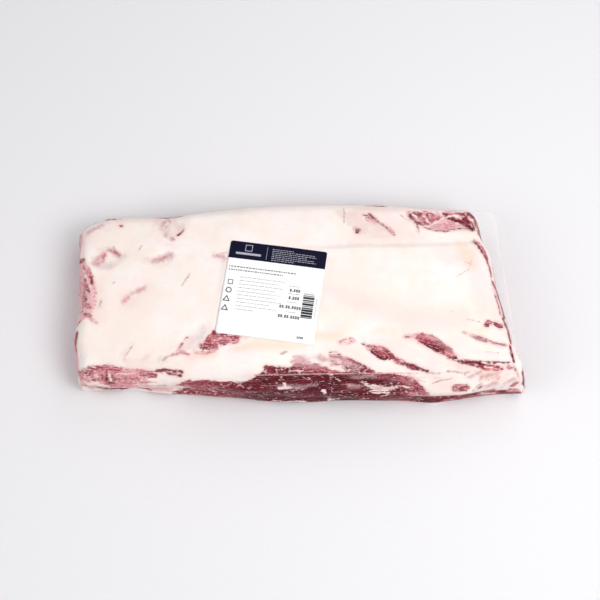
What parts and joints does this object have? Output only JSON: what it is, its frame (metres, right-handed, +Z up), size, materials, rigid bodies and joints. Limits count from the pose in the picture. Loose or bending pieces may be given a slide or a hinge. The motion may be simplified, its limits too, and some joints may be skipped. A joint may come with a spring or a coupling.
{
  "type": "pack of ribeye roast",
  "caption": "Whole boneless beef roast with its fat cap up, shrunk tight into a clear vacuum bag with a thin welded edge and a square paper label on top.",
  "frame": {"origin": "middle of the outline, on the surface that the pack lies on", "axes": "+X along the roast towards the end with the welded fin, +Y towards the rear side, away from the trimmed lean side, +Z up through the label"},
  "size_m": [0.4658, 0.213, 0.0648],
  "materials": {
    "bag": "clear glossy film drawn tight over pale fat and dark red lean",
    "label": "white coated paper, semi-matte, with a dark blue band"
  },
  "bodies": {
    "root": {"bag": "bag", "label": "label"}
  },
  "joints": []
}
